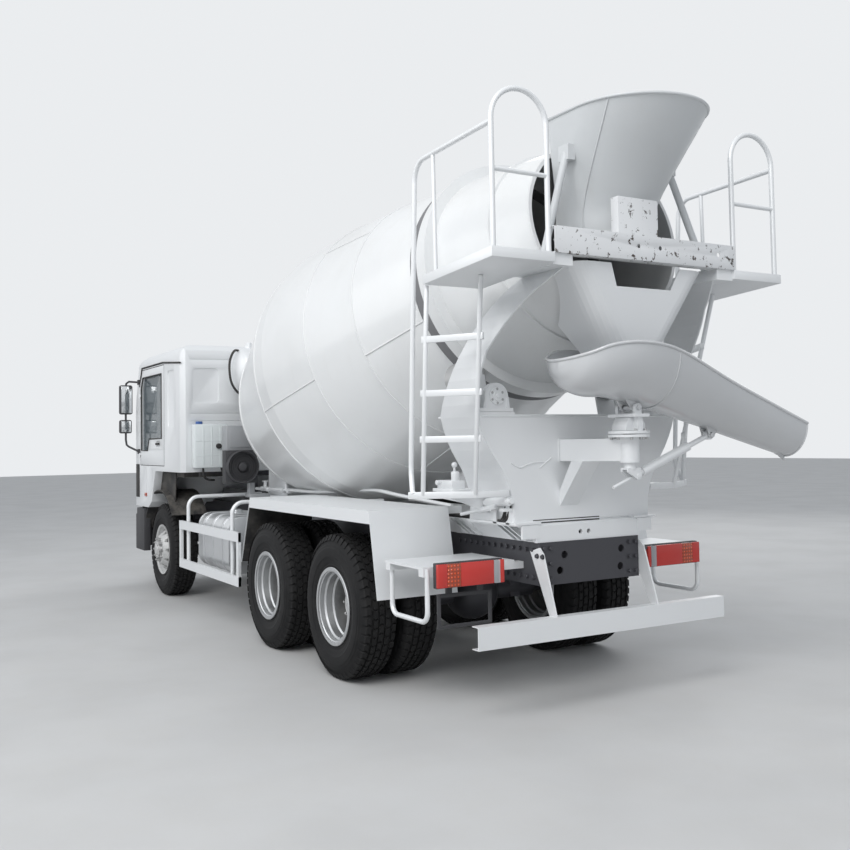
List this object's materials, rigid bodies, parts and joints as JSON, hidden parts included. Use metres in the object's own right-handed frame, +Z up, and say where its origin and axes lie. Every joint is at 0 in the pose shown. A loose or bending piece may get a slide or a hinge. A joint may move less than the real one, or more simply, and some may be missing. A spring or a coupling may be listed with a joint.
{
  "type": "concrete mixer truck",
  "caption": "Truck with a tilting cab, an inclined rotating drum, a charge hopper, a collecting funnel and a swinging discharge chute.",
  "frame": {"origin": "on the ground, under the middle of the overall box", "axes": "+X forward toward the cab, +Y to the left side, +Z up"},
  "size_m": [8.825, 2.9, 3.8248],
  "materials": {
    "white_paint": "gloss paint, dusty",
    "frame_paint": "satin black paint",
    "grey_paint": "satin grey paint",
    "rim_paint": "satin silver paint, dusty",
    "bare_steel": "bare, oiled",
    "worn_steel": "worn paint with rust",
    "cast_metal": "rough casting",
    "tank_aluminium": "brushed",
    "black_plastic": "grained",
    "milky_plastic": "translucent",
    "red_lens": "clear red",
    "clear_lens": "clear",
    "tinted_glass": "tinted",
    "seat_fabric": "woven",
    "tyre_rubber": "dusty"
  },
  "bodies": {
    "chassis": {"frame": "frame_paint", "subframe": "white_paint", "engine": "cast_metal", "front_axle": "frame_paint", "drive_axles": "frame_paint", "fuel_tank": "tank_aluminium", "battery_box": "black_plastic", "exhaust": "bare_steel", "side_guards": "white_paint", "fenders": "white_paint", "rear_steps": "white_paint", "tail_lamps": "red_lens", "underrun_guard": "white_paint", "front_pedestal": "white_paint", "drum_drive": "cast_metal", "rear_pedestal": "white_paint", "platforms": "white_paint", "handrails": "white_paint", "charge_hopper": "worn_steel", "collecting_funnel": "white_paint", "water_tank": "white_paint", "oil_cooler": "grey_paint", "bumper": "black_plastic", "headlamps": "clear_lens"},
    "cab": {"cab_shell": "white_paint", "cab_glass": "tinted_glass", "seats": "seat_fabric", "dashboard": "black_plastic", "mirrors": "black_plastic", "cab_trim": "black_plastic", "expansion_tank": "milky_plastic"},
    "door_left_leaf": {"door_left": "white_paint", "door_glass_left": "tinted_glass"},
    "door_right_leaf": {"door_right": "white_paint", "door_glass_right": "tinted_glass"},
    "drum": {"drum_shell": "white_paint", "drum_neck": "white_paint"},
    "roller_left_wheel": {"roller_left": "bare_steel"},
    "roller_right_wheel": {"roller_right": "bare_steel"},
    "steer_left": {"knuckle_left": "frame_paint"},
    "steer_right": {"knuckle_right": "frame_paint"},
    "track_rod": {"tie_rod": "frame_paint"},
    "wheel_front_left": {"tyre_front_left": "tyre_rubber", "rim_front_left": "rim_paint"},
    "wheel_front_right": {"tyre_front_right": "tyre_rubber", "rim_front_right": "rim_paint"},
    "wheels_mid_left": {"tyres_mid_left": "tyre_rubber", "rims_mid_left": "rim_paint"},
    "wheels_mid_right": {"tyres_mid_right": "tyre_rubber", "rims_mid_right": "rim_paint"},
    "wheels_rear_left": {"tyres_rear_left": "tyre_rubber", "rims_rear_left": "rim_paint"},
    "wheels_rear_right": {"tyres_rear_right": "tyre_rubber", "rims_rear_right": "rim_paint"},
    "swivel_arm": {"chute_arm": "white_paint"},
    "chute_trough": {"chute": "white_paint"},
    "jack_tube": {"jack_barrel": "white_paint"},
    "jack_screw": {"jack_rod": "bare_steel"}
  },
  "joints": [
    {"name": "cab_tilt", "type": "hinge", "parent": "chassis", "child": "cab", "pos_m": [4.23, 0, 0.985], "axis": [0, 1, 0], "range_deg": [0, 50]},
    {"name": "door_left_swing", "type": "hinge", "parent": "cab", "child": "door_left_leaf", "pos_m": [3.852, 1.209, 1.9], "axis": [0, 0, -1], "range_deg": [0, 70]},
    {"name": "door_right_swing", "type": "hinge", "parent": "cab", "child": "door_right_leaf", "pos_m": [3.852, -1.209, 1.9], "axis": [0, 0, 1], "range_deg": [0, 70]},
    {"name": "drum_spin", "type": "hinge", "parent": "chassis", "child": "drum", "pos_m": [-2.676, 0, 2.926], "axis": [-0.9764, 0, 0.2158], "continuous": true},
    {"name": "roller_left_spin", "type": "hinge", "parent": "chassis", "child": "roller_left_wheel", "pos_m": [-2.84447, 0.65519, 2.16356], "axis": [-0.9764, 0, 0.2158], "continuous": true},
    {"name": "roller_right_spin", "type": "hinge", "parent": "chassis", "child": "roller_right_wheel", "pos_m": [-2.84447, -0.65519, 2.16356], "axis": [-0.9764, 0, 0.2158], "continuous": true},
    {"name": "steer_left_turn", "type": "hinge", "parent": "chassis", "child": "steer_left", "pos_m": [3.05, 0.85, 0.535], "axis": [0, 0, 1], "range_deg": [-35, 35]},
    {"name": "steer_right_turn", "type": "hinge", "parent": "chassis", "child": "steer_right", "pos_m": [3.05, -0.85, 0.535], "axis": [0, 0, 1], "range_deg": [-35, 35]},
    {"name": "track_rod_turn", "type": "hinge", "parent": "steer_left", "child": "track_rod", "pos_m": [2.86, 0.85, 0.48], "axis": [0, 0, 1], "range_deg": [-35, 35]},
    {"name": "chute_swivel", "type": "hinge", "parent": "chassis", "child": "swivel_arm", "pos_m": [-3.82, 0, 1.774], "axis": [0, 0, 1], "range_deg": [-168, 0]},
    {"name": "chute_tilt", "type": "hinge", "parent": "swivel_arm", "child": "chute_trough", "pos_m": [-3.82, 0, 1.94], "axis": [-1, 0, 0], "range_deg": [-5, 15]},
    {"name": "jack_swing", "type": "hinge", "parent": "swivel_arm", "child": "jack_tube", "pos_m": [-3.82, -0.045, 1.505], "axis": [-1, 0, 0], "range_deg": [-20, 20]},
    {"name": "jack_extend", "type": "slide", "parent": "jack_tube", "child": "jack_screw", "axis": [0, -0.9336, 0.3584], "range_m": [-0.08, 0.16]},
    {"name": "wheel_front_left_spin", "type": "hinge", "parent": "steer_left", "child": "wheel_front_left", "pos_m": [3.05, 1.01, 0.535], "axis": [0, 1, 0], "continuous": true},
    {"name": "wheel_front_right_spin", "type": "hinge", "parent": "steer_right", "child": "wheel_front_right", "pos_m": [3.05, -1.01, 0.535], "axis": [0, 1, 0], "continuous": true},
    {"name": "wheel_mid_left_spin", "type": "hinge", "parent": "chassis", "child": "wheels_mid_left", "pos_m": [-0.55, 0.915, 0.535], "axis": [0, 1, 0], "continuous": true},
    {"name": "wheel_mid_right_spin", "type": "hinge", "parent": "chassis", "child": "wheels_mid_right", "pos_m": [-0.55, -0.915, 0.535], "axis": [0, 1, 0], "continuous": true},
    {"name": "wheel_rear_left_spin", "type": "hinge", "parent": "chassis", "child": "wheels_rear_left", "pos_m": [-1.9, 0.915, 0.535], "axis": [0, 1, 0], "continuous": true},
    {"name": "wheel_rear_right_spin", "type": "hinge", "parent": "chassis", "child": "wheels_rear_right", "pos_m": [-1.9, -0.915, 0.535], "axis": [0, 1, 0], "continuous": true}
  ],
  "couplings": [
    {"joint": "roller_left_spin", "follows": "drum_spin", "ratio": -7.152},
    {"joint": "roller_right_spin", "follows": "drum_spin", "ratio": -7.152},
    {"joint": "steer_right_turn", "follows": "steer_left_turn", "ratio": 1},
    {"joint": "track_rod_turn", "follows": "steer_left_turn", "ratio": -1},
    {"joint": "jack_swing", "follows": "chute_tilt", "ratio": 0.8096},
    {"joint": "jack_extend", "follows": "chute_tilt", "m_per_rad": 0.4119}
  ]
}
